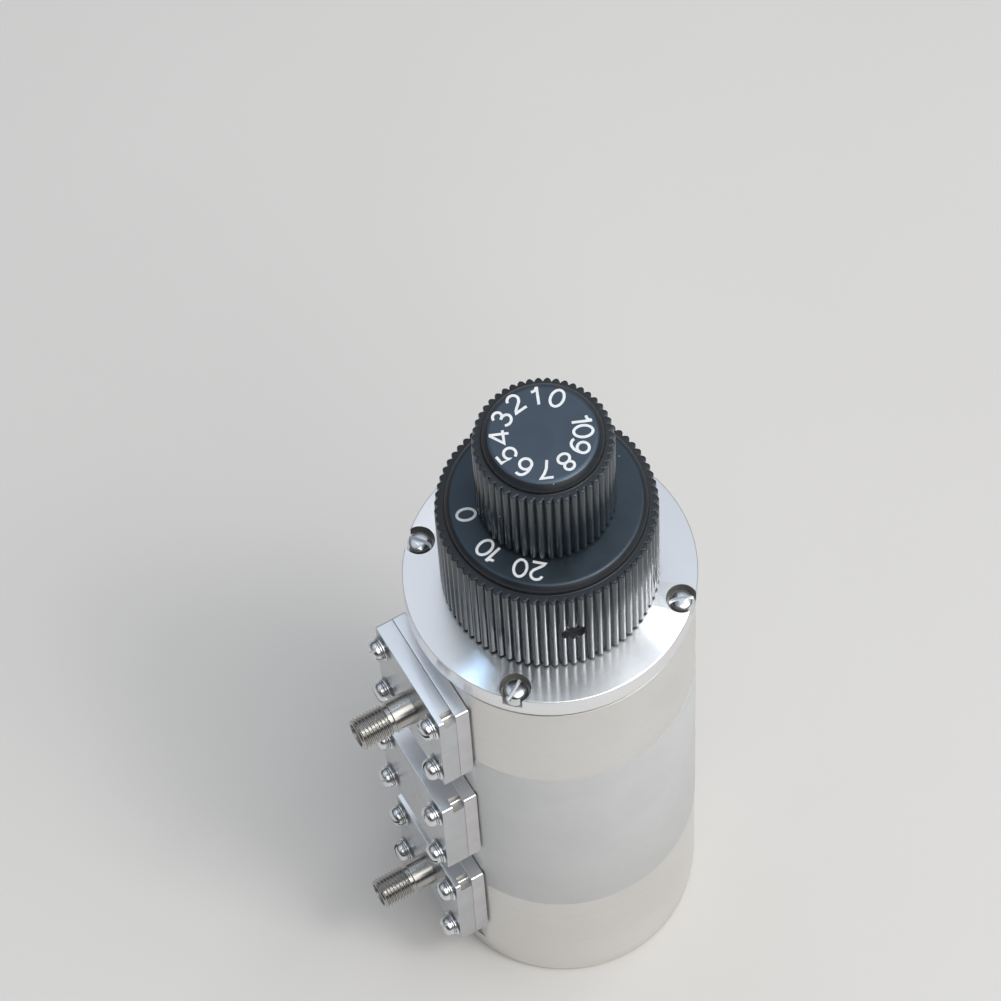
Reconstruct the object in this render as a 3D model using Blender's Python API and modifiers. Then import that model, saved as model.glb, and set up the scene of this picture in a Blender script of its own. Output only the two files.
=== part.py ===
# Dual concentric rotary step attenuator, standing on its base.
# Metres, +Z up. The origin is on the dials' axis, in the centre of the bottom face.
# The coaxial jacks face -Y.
import math

import bmesh
import bpy

# Clearances
fit_gap = 0.0003        # between faces that seat on each other
slip_gap = 0.00015      # around small turned pieces
run_gap = 0.0001        # radial running clearance of the shafts

# Housing and end plates
housing_radius = 0.0266
housing_wall = 0.0050
bore_ledge = 0.0006
flat_depth = 0.0023     # milled off the connector side
plate_overhang = 0.0004
plate_thickness = 0.0052
base_inset = 0.0004
base_thickness = 0.0042
edge_bevel = 0.0003

# Fasteners of the end plates. Their circles are set in from the housing's outside.
plate_screw_inset = 0.0019
plate_screw_head_radius = 0.0023
plate_screw_head_height = 0.0028
plate_screw_shank_radius = 0.0011
plate_screw_length = 0.0105
pocket_clearance = 0.0007
pocket_depth = 0.0030
base_screw_inset = 0.0037
base_screw_head_radius = 0.0019
base_screw_length = 0.0110

# Side blocks, from the top one down: input, link and output
output_height = 0.0281  # of the lower jack, over the bottom face
block_pitch = 0.0372
input_drop = 0.0250     # of the upper jack, from the front plate's top
block_overhang = 0.0011     # past each edge of the flat
block_height = 0.0256
block_thickness = 0.0026
cover_thickness = 0.0032
link_cover_thickness = 0.0044
block_screw_side_inset = 0.00255
block_screw_end_inset = 0.0041
block_screw_head_radius = 0.0021
block_screw_head_height = 0.0017
washer_radius = 0.0026
washer_thickness = 0.0007
block_screw_shank_radius = 0.0010
block_screw_length = 0.0098
cover_notch = 0.0021

# Coaxial jacks
jack_radius = 0.003175
jack_reach = 0.0115
jack_thread_length = 0.0064
jack_mouth_radius = 0.0023
jack_mouth_depth = 0.0019
jack_bore_radius = 0.0020
jack_flange_radius = 0.0043
jack_flange_thickness = 0.0012
contact_radius = 0.000635
contact_socket_radius = 0.00042
contact_socket_depth = 0.0022
window_radius = 0.0040
link_window_radius = 0.0025
link_half_rise = 0.0060

# Shafts and their bearings
outer_shaft_radius = 0.003175
inner_shaft_radius = 0.0015875
bushing_wall = 0.0018
bushing_flange_radius = 0.0070
bushing_flange_thickness = 0.0013
bearing_plate_thickness = 0.0030
base_boss_radius = 0.0050
base_boss_height = 0.0045

# Knobs
knob_lift = 0.0005
flute_depth = 0.0008
ridge_share = 0.38      # of the flutes' pitch
outer_knob_radius = 0.0198
outer_knob_height = 0.0248
outer_knob_rim = 0.0019         # from the ridges to the raised disc
outer_knob_flutes = 72
inner_knob_radius = 0.01225
inner_knob_height = 0.0210
inner_knob_rim = 0.0017
inner_knob_flutes = 48
knob_disc_height = 0.0022
knob_disc_round = 0.0010
knob_underside_recess = 0.0060
knob_wall = 0.0030
knob_hub_wall = 0.0040
set_screw_radius = 0.0011
set_screw_length = 0.0050
outer_set_screw_azimuth = 343.0
inner_set_screw_azimuth = 100.0

# Rotors, one for each dial
rotor_clearance = 0.0010
rotor_disc_thickness = 0.0030
rotor_hub_wall = 0.0045
rotor_rim_web = 0.0008
cell_web = 0.0021       # between neighbouring cells' seats
cell_pin_radius = 0.0006
cell_pin_length = 0.0010
positions = 12
outer_cells = ("cell_0db", "cell_10db", "cell_20db")
inner_cells = 11
cell_turn = 5.0         # degrees, keeps the facets' corners off the discs' edges

# Detents
detent_room = 0.0086    # from the star wheels' rim to the bore
wheel_thickness = 0.0030
wheel_notch_depth = 0.0006
wheel_drop = 0.0120
lower_wheel_height = 0.0125
leaf_thickness = 0.0004
leaf_width = 0.0030
leaf_nose = 0.0016
leaf_tail = 0.0068
post_radius = 0.0013
post_clearance = 0.0007

# Heights worked out from the sizes above
output_z = output_height
link_z = output_z + block_pitch
input_z = link_z + block_pitch
plate_top = input_z + input_drop
plate_bottom = plate_top - plate_thickness
housing_top = plate_bottom - fit_gap
housing_bottom = base_thickness + fit_gap
housing_length = housing_top - housing_bottom

# Radii and widths that follow the housing
plate_radius = housing_radius + plate_overhang
base_radius = housing_radius - base_inset
bore_radius = housing_radius - housing_wall
plate_screw_circle = housing_radius - plate_screw_inset
base_screw_circle = housing_radius - base_screw_inset
flat_distance = housing_radius - flat_depth
flat_width = 2 * math.sqrt(housing_radius ** 2 - flat_distance ** 2)
block_width = flat_width + 2 * block_overhang
wheel_radius = bore_radius - detent_room

# Distances out from the axis, along -Y
block_back = flat_distance + fit_gap
block_front = block_back + block_thickness
cover_back = block_front + fit_gap

# Moving heights: the contact shoes end just clear of the cells' pins
finger_drop = 0.0015
upper_rotor_top = input_z - finger_drop - cell_pin_length
lower_rotor_top = link_z - link_half_rise - finger_drop - cell_pin_length
rotor_length = block_pitch - link_half_rise - 2 * (finger_drop + cell_pin_length)
rotor_radius = bore_radius - bore_ledge - rotor_clearance
step_angle = 2 * math.pi / positions
half_step = math.sin(step_angle / 2)
cell_radius = ((rotor_radius - rotor_rim_web) * half_step - slip_gap - cell_web / 2) / (1 + half_step)
cell_circle = rotor_radius - cell_radius - rotor_rim_web


def new_collection(name):
    collection = bpy.data.collections.new(name)
    bpy.context.scene.collection.children.link(collection)
    return collection


def finish(name, colour, metallic, roughness):
    """A Principled material."""
    material = bpy.data.materials.new(name)
    material.use_nodes = True
    shader = material.node_tree.nodes["Principled BSDF"]
    shader.inputs["Base Color"].default_value = (*colour, 1)
    shader.inputs["Metallic"].default_value = metallic
    shader.inputs["Roughness"].default_value = roughness
    material.diffuse_color = (*colour, 1)
    return material


def place(name, mesh, material=None, location=(0, 0, 0), rotation=(0, 0, 0), parent=None):
    """Put a mesh in the part, or among the cutters if it has no material."""
    thing = bpy.data.objects.new(name, mesh)
    thing.location = location
    thing.rotation_euler = rotation
    if material is None:
        cutters.objects.link(thing)
        thing.hide_render = True
        thing.display_type = "WIRE"
    else:
        parts.objects.link(thing)
        mesh.materials.append(material)
    thing.parent = parent
    return thing


def mesh_from(name, bm):
    mesh = bpy.data.meshes.new(name)
    bm.normal_update()
    bm.to_mesh(mesh)
    bm.free()
    return mesh


def box_mesh(name, size):
    bm = bmesh.new()
    bmesh.ops.create_cube(bm, size=1)
    bmesh.ops.scale(bm, vec=size, verts=bm.verts)
    return mesh_from(name, bm)


def rod_mesh(name, radius, length, sides=24):
    """A cylinder about Z, centred on its origin."""
    bm = bmesh.new()
    bmesh.ops.create_cone(bm, cap_ends=True, segments=sides, radius1=radius, radius2=radius, depth=length)
    return mesh_from(name, bm)


def turned(name, profile, material=None, sides=48, closed=False, **where):
    """Turn a profile of (radius, height) pairs about Z. It runs down its outer side."""
    mesh = bpy.data.meshes.new(name)
    count = len(profile)
    edges = [(k, k + 1) for k in range(count - 1)]
    if closed:
        edges.append((count - 1, 0))
    mesh.from_pydata([(radius, 0, height) for radius, height in profile], edges, [])
    thing = place(name, mesh, material, **where)
    screw = thing.modifiers.new("turn", "SCREW")
    screw.steps = sides
    screw.render_steps = sides
    screw.use_merge_vertices = True
    screw.merge_threshold = 0.00001
    screw.use_smooth_shade = True
    return thing


def combine(target, other, operation="DIFFERENCE"):
    boolean = target.modifiers.new(operation.lower(), "BOOLEAN")
    boolean.operation = operation
    boolean.object = other
    boolean.solver = "EXACT"


def bevel(target, width, segments=1):
    edge = target.modifiers.new("bevel", "BEVEL")
    edge.width = width
    edge.segments = segments
    edge.limit_method = "ANGLE"
    edge.angle_limit = math.radians(50)


def around(radius, degrees, height=0.0):
    angle = math.radians(degrees)
    return (radius * math.cos(angle), radius * math.sin(angle), height)


def outward(distance, across, height):
    """A point on the connector side: out along -Y, across along +X."""
    return (across, -distance, height)


facing_out = (math.pi / 2, 0, 0)    # turns a piece built along +Z to point along -Y


def quarter_angles():
    return (225, 315, 45, 135)


def front_plate():
    """The thick round plate under the knobs, with a pocket at the rim for each screw."""
    bushing_radius = outer_shaft_radius + run_gap + bushing_wall
    plate = turned("front_plate", [
        (bushing_radius + fit_gap, plate_top),
        (plate_radius - edge_bevel, plate_top),
        (plate_radius, plate_top - edge_bevel),
        (plate_radius, plate_bottom),
        (bushing_radius + fit_gap, plate_bottom),
    ], bright_aluminium, 60, closed=True)
    pocket_radius = plate_screw_head_radius + pocket_clearance
    for k, degrees in enumerate(quarter_angles()):
        pocket = place(f"pocket_cutter_{k}", rod_mesh("pocket", pocket_radius, 2 * pocket_depth, 14),
                       location=around(plate_screw_circle, degrees, plate_top))
        combine(plate, pocket)
        hole = place(f"plate_hole_cutter_{k}",
                     rod_mesh("hole", plate_screw_shank_radius + fit_gap, 3 * plate_thickness, 8),
                     location=around(plate_screw_circle, degrees, plate_top))
        combine(plate, hole)


def plate_screws():
    """Fillister-head screws, seated on the floors of the plate's pockets."""
    seat = plate_top - pocket_depth + fit_gap
    dome = 0.25 * plate_screw_head_height
    for k, degrees in enumerate(quarter_angles()):
        turned(f"plate_screw_{k + 1}", [
            (0, plate_screw_head_height),
            (0.72 * plate_screw_head_radius, plate_screw_head_height - 0.4 * dome),
            (plate_screw_head_radius, plate_screw_head_height - 1.6 * dome),
            (plate_screw_head_radius, 0),
            (plate_screw_shank_radius, 0),
            (plate_screw_shank_radius, -plate_screw_length),
            (0, -plate_screw_length),
        ], zinc_steel, 10, location=around(plate_screw_circle, degrees, seat))


def shaft_bushing():
    """Flanged bronze bearing of the outer shaft, pushed into the plate from below."""
    bore = outer_shaft_radius + run_gap
    flange_top = plate_bottom - fit_gap
    turned("shaft_bushing", [
        (bore, plate_top),
        (bore + bushing_wall, plate_top),
        (bore + bushing_wall, flange_top),
        (bushing_flange_radius, flange_top),
        (bushing_flange_radius, flange_top - bushing_flange_thickness),
        (bore, flange_top - bushing_flange_thickness),
    ], bronze, 18, closed=True)


def bearing_plate_bottom():
    return link_z - bearing_plate_thickness / 2


def housing():
    """The bored tube. One side is milled flat for the blocks, with windows to the rotors."""
    ledge = bearing_plate_bottom() - fit_gap
    tube = turned("housing", [
        (bore_radius, housing_top),
        (housing_radius, housing_top),
        (housing_radius, housing_bottom),
        (bore_radius - bore_ledge, housing_bottom),
        (bore_radius - bore_ledge, ledge),
        (bore_radius, ledge),
    ], satin_aluminium, 56, closed=True)
    slab = housing_radius
    flat = place("flat_cutter", box_mesh("flat", (3 * slab, slab, 2 * housing_length)),
                 location=outward(flat_distance + slab / 2, 0, housing_bottom + housing_length / 2))
    combine(tube, flat)
    depth = 2 * (flat_distance - 0.7 * bore_radius)
    for k, (height, radius) in enumerate((
            (input_z, window_radius),
            (link_z + link_half_rise, link_window_radius),
            (link_z - link_half_rise, link_window_radius),
            (output_z, window_radius))):
        window = place(f"window_cutter_{k}", rod_mesh("window", radius, depth, 14),
                       location=outward(flat_distance, 0, height), rotation=facing_out)
        combine(tube, window)
    for name, location in block_screw_places():
        hole = place(f"{name}_tap_cutter", rod_mesh("tap", block_screw_shank_radius + fit_gap, depth, 6),
                     location=location, rotation=facing_out)
        combine(tube, hole)
    for k, degrees in enumerate(quarter_angles()):
        reach = 2 * (plate_screw_length + fit_gap)
        top = place(f"top_tap_cutter_{k}", rod_mesh("tap", plate_screw_shank_radius + fit_gap, reach, 6),
                    location=around(plate_screw_circle, degrees, plate_top - pocket_depth))
        combine(tube, top)
        low = place(f"base_tap_cutter_{k}",
                    rod_mesh("tap", plate_screw_shank_radius + fit_gap, 2 * (base_screw_length + fit_gap), 6),
                    location=around(base_screw_circle, degrees, 0))
        combine(tube, low)


def block_screw_places():
    """Name and seat of each block's four screws, on the flat."""
    across = block_width / 2 - block_screw_side_inset
    along = block_height / 2 - block_screw_end_inset
    for block, height in (("input", input_z), ("link", link_z), ("output", output_z)):
        corners = [(sx, sz) for sz in (1, -1) for sx in (1, -1)]
        for k, (sx, sz) in enumerate(corners):
            yield f"{block}_screw_{k + 1}", outward(flat_distance, sx * across, height + sz * along)


def cover_depth(block):
    return link_cover_thickness if block == "link" else cover_thickness


def block_screws():
    """Pan-head screws with captive washers, through cover and block into the housing."""
    for name, (across, _, height) in block_screw_places():
        seat = cover_back + cover_depth(name.split("_")[0]) + fit_gap
        head = washer_thickness + block_screw_head_height
        turned(name, [
            (0, head),
            (0.6 * block_screw_head_radius, head),
            (block_screw_head_radius, head - 0.6 * block_screw_head_height),
            (block_screw_head_radius, washer_thickness),
            (washer_radius, washer_thickness),
            (washer_radius, 0),
            (block_screw_shank_radius, 0),
            (block_screw_shank_radius, -block_screw_length),
            (0, -block_screw_length),
        ], zinc_steel, 8, location=outward(seat, across, height), rotation=facing_out)


def screw_holes(target, block, depth):
    for name, (across, _, height) in block_screw_places():
        if name.startswith(block):
            hole = place(f"{target.name}_{name}_cutter",
                         rod_mesh("hole", block_screw_shank_radius + fit_gap, 4 * depth, 6),
                         location=outward(cover_back, across, height), rotation=facing_out)
            combine(target, hole)


def side_block(block, height):
    """The inner layer of one block, seated on the flat."""
    base = place(f"{block}_block", box_mesh("block", (block_width, block_thickness, block_height)),
                 satin_aluminium, outward(block_back + block_thickness / 2, 0, height))
    bevel(base, edge_bevel)
    if block == "link":
        cavity = box_mesh("cavity", (2 * window_radius, 3 * block_thickness,
                                     2 * (link_half_rise + link_window_radius)))
        hollow = place("link_cavity_cutter", cavity, location=outward(block_back, 0, height))
    else:
        hollow = place(f"{block}_bore_cutter", rod_mesh("bore", window_radius, 4 * block_thickness, 14),
                       location=outward(block_back, 0, height), rotation=facing_out)
    combine(base, hollow)
    screw_holes(base, block, block_thickness)


def side_cover(block, height):
    """The outer layer: it holds the jack, and has a notch at one corner to pry it off."""
    depth = cover_depth(block)
    cover = place(f"{block}_cover", box_mesh("cover", (block_width, depth, block_height)),
                  bright_aluminium, outward(cover_back + depth / 2, 0, height))
    bevel(cover, edge_bevel)
    notch = place(f"{block}_notch_cutter", box_mesh("notch", (2 * cover_notch, 2 * cover_notch, 2 * cover_notch)),
                  location=outward(cover_back, block_width / 2, height + block_height / 2))
    combine(cover, notch)
    if block == "link":
        recess = box_mesh("recess", (2 * window_radius, link_cover_thickness,
                                     2 * (link_half_rise + link_window_radius)))
        combine(cover, place("link_recess_cutter", recess, location=outward(cover_back, 0, height)))
    else:
        bore = rod_mesh("bore", jack_radius + slip_gap, 4 * depth, 16)
        combine(cover, place(f"{block}_cover_bore_cutter", bore,
                             location=outward(cover_back, 0, height), rotation=facing_out))
        seat = rod_mesh("seat", jack_flange_radius + fit_gap, 2 * (jack_flange_thickness + fit_gap), 16)
        combine(cover, place(f"{block}_cover_seat_cutter", seat,
                             location=outward(cover_back, 0, height), rotation=facing_out))
    screw_holes(cover, block, depth)


def jack(block, height):
    """Threaded coaxial jack, its flange caught behind the cover."""
    front = cover_thickness + jack_reach
    relief = jack_radius - 0.00025
    thread_start = front - jack_thread_length
    turned(f"{block}_jack", [
        (jack_mouth_radius, front),
        (relief, front),
        (jack_radius, front - 0.0003),
        (jack_radius, thread_start),
        (relief, thread_start),
        (relief, thread_start - 0.0008),
        (jack_radius, thread_start - 0.0008),
        (jack_radius, jack_flange_thickness),
        (jack_flange_radius, jack_flange_thickness),
        (jack_flange_radius, 0),
        (jack_bore_radius, 0),
        (jack_bore_radius, front - jack_mouth_depth),
        (jack_mouth_radius, front - jack_mouth_depth),
    ], plain_steel, 16, closed=True, location=outward(cover_back, 0, height), rotation=facing_out)


def insulator(block, height):
    """Stepped dielectric: a sleeve in the jack and a bead in the block and the window."""
    front = cover_thickness + jack_reach - jack_mouth_depth
    bead_front = -slip_gap
    bead_back = bore_radius - cover_back
    bore = contact_radius + slip_gap
    sleeve = jack_bore_radius - slip_gap
    turned(f"{block}_insulator", [
        (bore, front),
        (sleeve, front),
        (sleeve, bead_front),
        (window_radius - slip_gap, bead_front),
        (window_radius - slip_gap, bead_back),
        (bore, bead_back),
    ], white_dielectric, 12, closed=True, location=outward(cover_back, 0, height), rotation=facing_out)


def contact(block, height, turn):
    """Centre contact: a socket at the jack's mouth and a shoe over or under the rotor's cells."""
    front = cover_back + cover_thickness + jack_reach - jack_mouth_depth
    length = front - cell_circle + contact_radius
    pin = turned(f"{block}_contact", [
        (0, -contact_socket_depth),
        (contact_socket_radius, -contact_socket_depth),
        (contact_socket_radius, 0),
        (contact_radius, 0),
        (contact_radius, -length),
        (0, -length),
    ], gold, 12, location=outward(front, 0, height), rotation=facing_out)
    shoe_length = finger_drop - fit_gap
    shoe = place(f"{block}_shoe_addition", rod_mesh("shoe", 0.8 * contact_radius, shoe_length, 8),
                 location=outward(cell_circle, 0, height + turn * shoe_length / 2))
    combine(pin, shoe, "UNION")


def bent_rod(name, points, radius, material):
    """A round rod along straight stretches."""
    curve = bpy.data.curves.new(name, "CURVE")
    curve.dimensions = "3D"
    curve.bevel_depth = radius
    curve.bevel_resolution = 1
    curve.use_fill_caps = True
    spline = curve.splines.new("POLY")
    spline.points.add(len(points) - 1)
    for point, place_at in zip(spline.points, points):
        point.co = (*place_at, 1)
    curve.materials.append(material)
    thing = bpy.data.objects.new(name, curve)
    parts.objects.link(thing)
    return thing


def link_contact():
    """The strap that carries the signal from the upper rotor to the lower one."""
    strap = cover_back + slip_gap
    high = link_z + link_half_rise
    low = link_z - link_half_rise
    bent_rod("link_contact", [
        outward(cell_circle, 0, upper_rotor_top - rotor_length - cell_pin_length - fit_gap),
        outward(cell_circle, 0, high),
        outward(strap, 0, high),
        outward(strap, 0, low),
        outward(cell_circle, 0, low),
        outward(cell_circle, 0, lower_rotor_top + cell_pin_length + fit_gap),
    ], cell_pin_radius, gold)


def link_insulator():
    """Moulded carrier of the strap: a plate in the link block with a sleeve in each window."""
    width = 2 * (window_radius - slip_gap)
    height = 2 * (link_half_rise + link_window_radius - slip_gap)
    depth = 0.55 * block_thickness
    plate = place("link_insulator", box_mesh("carrier", (width, depth, height)), white_dielectric,
                  outward(block_back + depth / 2, 0, link_z))
    sleeve_length = block_back - bore_radius + depth / 2
    for k, side in enumerate((1, -1)):
        height = link_z + side * link_half_rise
        sleeve = place(f"link_sleeve_addition_{k}",
                       rod_mesh("sleeve", link_window_radius - slip_gap, sleeve_length, 12),
                       location=outward(bore_radius + sleeve_length / 2, 0, height), rotation=facing_out)
        combine(plate, sleeve, "UNION")
    for k, side in enumerate((1, -1)):
        bore = place(f"link_strap_cutter_{k}", rod_mesh("bore", cell_pin_radius + slip_gap, 8 * block_thickness, 8),
                     location=outward(block_back, 0, link_z + side * link_half_rise), rotation=facing_out)
        combine(plate, bore)


def middle_bearing_plate():
    """Partition between the rotors, on the bore's ledge. It steadies the outer shaft's end."""
    bottom = bearing_plate_bottom()
    top = bottom + bearing_plate_thickness
    radius = bore_radius - fit_gap
    turned("middle_bearing_plate", [
        (outer_shaft_radius + run_gap, top),
        (radius, top),
        (radius, bottom),
        (outer_shaft_radius + run_gap, bottom),
    ], satin_aluminium, 28, closed=True)


def base_plate():
    """The bottom cover, with a blind bearing for the inner shaft."""
    boss_top = base_thickness + base_boss_height
    bore = inner_shaft_radius + run_gap
    plate = turned("base_plate", [
        (0, base_thickness),
        (bore, base_thickness),
        (bore, boss_top),
        (base_boss_radius, boss_top),
        (base_boss_radius, base_thickness),
        (base_radius, base_thickness),
        (base_radius, 2 * edge_bevel),
        (base_radius - 2 * edge_bevel, 0),
        (0, 0),
    ], satin_aluminium, 48)
    for k, degrees in enumerate(quarter_angles()):
        at = around(base_screw_circle, degrees)
        hole = place(f"base_hole_cutter_{k}", rod_mesh("hole", plate_screw_shank_radius + fit_gap, 4 * base_thickness, 8),
                     location=at)
        combine(plate, hole)
        head_depth = base_screw_head_radius - plate_screw_shank_radius
        clear = 2 * fit_gap
        sink = turned(f"base_sink_cutter_{k}", [
            (0, head_depth + clear),
            (plate_screw_shank_radius, head_depth + clear),
            (base_screw_head_radius + clear, 0),
            (base_screw_head_radius + clear, -0.001),
            (0, -0.001),
        ], None, 8, location=at)
        combine(plate, sink)


def base_screws():
    """Countersunk screws, just below the bottom face."""
    head_depth = base_screw_head_radius - plate_screw_shank_radius
    for k, degrees in enumerate(quarter_angles()):
        turned(f"base_screw_{k + 1}", [
            (0, base_screw_length),
            (plate_screw_shank_radius, base_screw_length),
            (plate_screw_shank_radius, head_depth + slip_gap),
            (base_screw_head_radius, slip_gap),
            (0, slip_gap),
        ], zinc_steel, 8, location=around(base_screw_circle, degrees))


def fluted_mesh(name, radius, height, flutes):
    """A cylinder on Z = 0 with straight V flutes: two points on each ridge and one in each groove."""
    bm = bmesh.new()
    bmesh.ops.create_cone(bm, cap_ends=True, segments=3 * flutes, radius1=radius, radius2=radius, depth=height)
    bmesh.ops.translate(bm, vec=(0, 0, height / 2), verts=bm.verts)
    pitch = 2 * math.pi / flutes
    for vertex in bm.verts:
        turn, corner = divmod(round(math.atan2(vertex.co.y, vertex.co.x) / pitch * 3), 3)
        angle = (turn + (-ridge_share / 2, ridge_share / 2, 0.5)[corner]) * pitch
        reach = radius if corner < 2 else radius - flute_depth
        vertex.co.x = reach * math.cos(angle)
        vertex.co.y = reach * math.sin(angle)
    return mesh_from(name, bm)


def knob(name, radius, height, flutes, rim, shaft_radius, through, bottom, screw_azimuth, parent):
    """A fluted knob with a raised disc. Its underside is hollowed, round a hub for the shaft."""
    body = place(name, fluted_mesh(name, radius, height, flutes), black_anodised,
                 location=(0, 0, bottom), parent=parent)
    top = height + knob_disc_height
    disc_radius = radius - rim
    disc = turned(f"{name}_disc_addition", [
        (0, top),
        (disc_radius - knob_disc_round, top),
        (disc_radius, top - knob_disc_round),
        (disc_radius, height / 2),
        (0, height / 2),
    ], None, 48, location=(0, 0, bottom), parent=parent)
    combine(body, disc, "UNION")
    bore = shaft_radius + slip_gap
    bore_top = 2 * top if through else height
    shaft = place(f"{name}_bore_cutter", rod_mesh("bore", bore, 2 * bore_top, 12),
                  location=(0, 0, bottom), parent=parent)
    combine(body, shaft)
    hub = shaft_radius + knob_hub_wall
    recess = turned(f"{name}_recess_cutter", [
        (hub, knob_underside_recess),
        (radius - knob_wall, knob_underside_recess),
        (radius - knob_wall, -knob_lift / 2),
        (hub, -knob_lift / 2),
    ], None, 24, closed=True, location=(0, 0, bottom), parent=parent)
    combine(body, recess)
    screw_z = bottom + height / 2
    hole = place(f"{name}_screw_cutter", rod_mesh("hole", set_screw_radius + slip_gap, 2 * radius, 12),
                 location=around(radius, screw_azimuth, screw_z),
                 rotation=(0, math.pi / 2, math.radians(screw_azimuth)), parent=parent)
    combine(body, hole)
    start = shaft_radius + slip_gap + slip_gap
    place(f"{name.replace('_knob', '')}_set_screw", rod_mesh("set_screw", set_screw_radius, set_screw_length, 12),
          zinc_steel, around(start + set_screw_length / 2, screw_azimuth, screw_z),
          (0, math.pi / 2, math.radians(screw_azimuth)), parent)
    return body


def detent_wheel(name, shaft_radius, bottom, parent):
    """A twelve-notch star wheel on a shaft."""
    bm = bmesh.new()
    sides = 3 * positions
    bmesh.ops.create_cone(bm, cap_ends=True, segments=sides, radius1=wheel_radius, radius2=wheel_radius,
                          depth=wheel_thickness)
    for vertex in bm.verts:
        angle = math.atan2(vertex.co.y, vertex.co.x) - math.pi / 2
        dip = max(0.0, math.cos(positions * angle)) ** 2
        scale = (wheel_radius - wheel_notch_depth * dip) / wheel_radius
        vertex.co.x *= scale
        vertex.co.y *= scale
    wheel = place(name, mesh_from(name, bm), plain_steel, location=(0, 0, bottom + wheel_thickness / 2),
                  parent=parent)
    bore = place(f"{name}_cutter", rod_mesh("bore", shaft_radius + slip_gap, 4 * wheel_thickness, 14),
                 location=(0, 0, bottom), parent=parent)
    combine(wheel, bore)


def detent_leaf(prefix, bottom, seat):
    """A flat spring with a bent nose over the wheel's rim, on a post fixed at `seat`."""
    line = wheel_radius + fit_gap + leaf_nose
    post_line = line + leaf_thickness + fit_gap + post_radius
    post_reach = bore_radius - post_radius - post_clearance
    post_across = -math.sqrt(post_reach ** 2 - post_line ** 2)
    start = post_across - post_radius
    profile = [
        (start, line),
        (-leaf_nose, line),
        (0, line - leaf_nose),
        (leaf_nose, line),
        (leaf_tail, line),
    ]
    upper = [(x, y + leaf_thickness) for x, y in reversed(profile)]
    outline = bpy.data.curves.new(f"{prefix}_detent_leaf", "CURVE")
    outline.dimensions = "2D"
    outline.fill_mode = "BOTH"
    outline.extrude = leaf_width / 2
    spline = outline.splines.new("POLY")
    spline.points.add(len(profile) + len(upper) - 1)
    for point, (x, y) in zip(spline.points, profile + upper):
        point.co = (x, y, 0, 1)
    spline.use_cyclic_u = True
    outline.materials.append(plain_steel)
    leaf = bpy.data.objects.new(f"{prefix}_detent_leaf", outline)
    leaf.location = (0, 0, bottom + wheel_thickness / 2)
    parts.objects.link(leaf)
    far = bottom if seat > bottom else bottom + wheel_thickness
    length = abs(seat - far)
    place(f"{prefix}_detent_post", rod_mesh("post", post_radius, length, 16), zinc_steel,
          (post_across, post_line, (seat + far) / 2))


def rotor(name, shaft_radius, top, cells, fused, parent):
    """A spool: hub, two end discs and the attenuator cells between them."""
    hub = shaft_radius + slip_gap + rotor_hub_wall
    bore = shaft_radius + slip_gap
    low = top - rotor_length
    spool = turned(name, [
        (bore, top),
        (rotor_radius, top),
        (rotor_radius, top - rotor_disc_thickness),
        (hub, top - rotor_disc_thickness),
        (hub, low + rotor_disc_thickness),
        (rotor_radius, low + rotor_disc_thickness),
        (rotor_radius, low),
        (bore, low),
    ], dark_aluminium, 32, closed=True, parent=parent)
    for k, cell in enumerate(cells):
        degrees = 270 + math.degrees(step_angle) * (k - (len(cells) - 1) / 2)
        spin = (0, 0, math.radians(degrees + cell_turn))
        if fused:
            body = turned(f"{cell}_addition", cell_profile(top, low, rotor_disc_thickness / 2), None, 8,
                          location=around(cell_circle, degrees), rotation=spin, parent=parent)
            combine(spool, body, "UNION")
        else:
            seat = place(f"{cell}_cutter", rod_mesh("seat", cell_radius + slip_gap, 2 * rotor_length, 10),
                         location=around(cell_circle, degrees, top - rotor_length / 2), rotation=spin,
                         parent=parent)
            combine(spool, seat)
            turned(cell, cell_profile(top, low, 0), brass, 10,
                   location=around(cell_circle, degrees), rotation=spin, parent=parent)


def cell_profile(top, low, inset):
    """A cartridge with a contact pin at each end. Its body stops short of the rotor's faces by the inset."""
    return [
        (0, top + cell_pin_length),
        (cell_pin_radius, top + cell_pin_length),
        (cell_pin_radius, top - inset),
        (cell_radius, top - inset),
        (cell_radius, low + inset),
        (cell_pin_radius, low + inset),
        (cell_pin_radius, low - cell_pin_length),
        (0, low - cell_pin_length),
    ]


def empty(name):
    pivot = bpy.data.objects.new(name, None)
    parts.objects.link(pivot)
    return pivot


def outer_dial():
    """Everything that turns with the larger knob."""
    pivot = empty("outer_dial_axis")
    bottom = plate_top + knob_lift
    knob("outer_knob", outer_knob_radius, outer_knob_height, outer_knob_flutes, outer_knob_rim,
         outer_shaft_radius, True, bottom, outer_set_screw_azimuth, pivot)
    shaft_top = bottom + outer_knob_height + knob_disc_height - fit_gap
    bore = inner_shaft_radius + run_gap
    turned("outer_shaft", [
        (bore, shaft_top),
        (outer_shaft_radius, shaft_top),
        (outer_shaft_radius, bearing_plate_bottom()),
        (bore, bearing_plate_bottom()),
    ], plain_steel, 16, closed=True, parent=pivot)
    detent_wheel("upper_detent_wheel", outer_shaft_radius, plate_bottom - wheel_drop, pivot)
    rotor("upper_rotor", outer_shaft_radius, upper_rotor_top, outer_cells, False, pivot)


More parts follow.
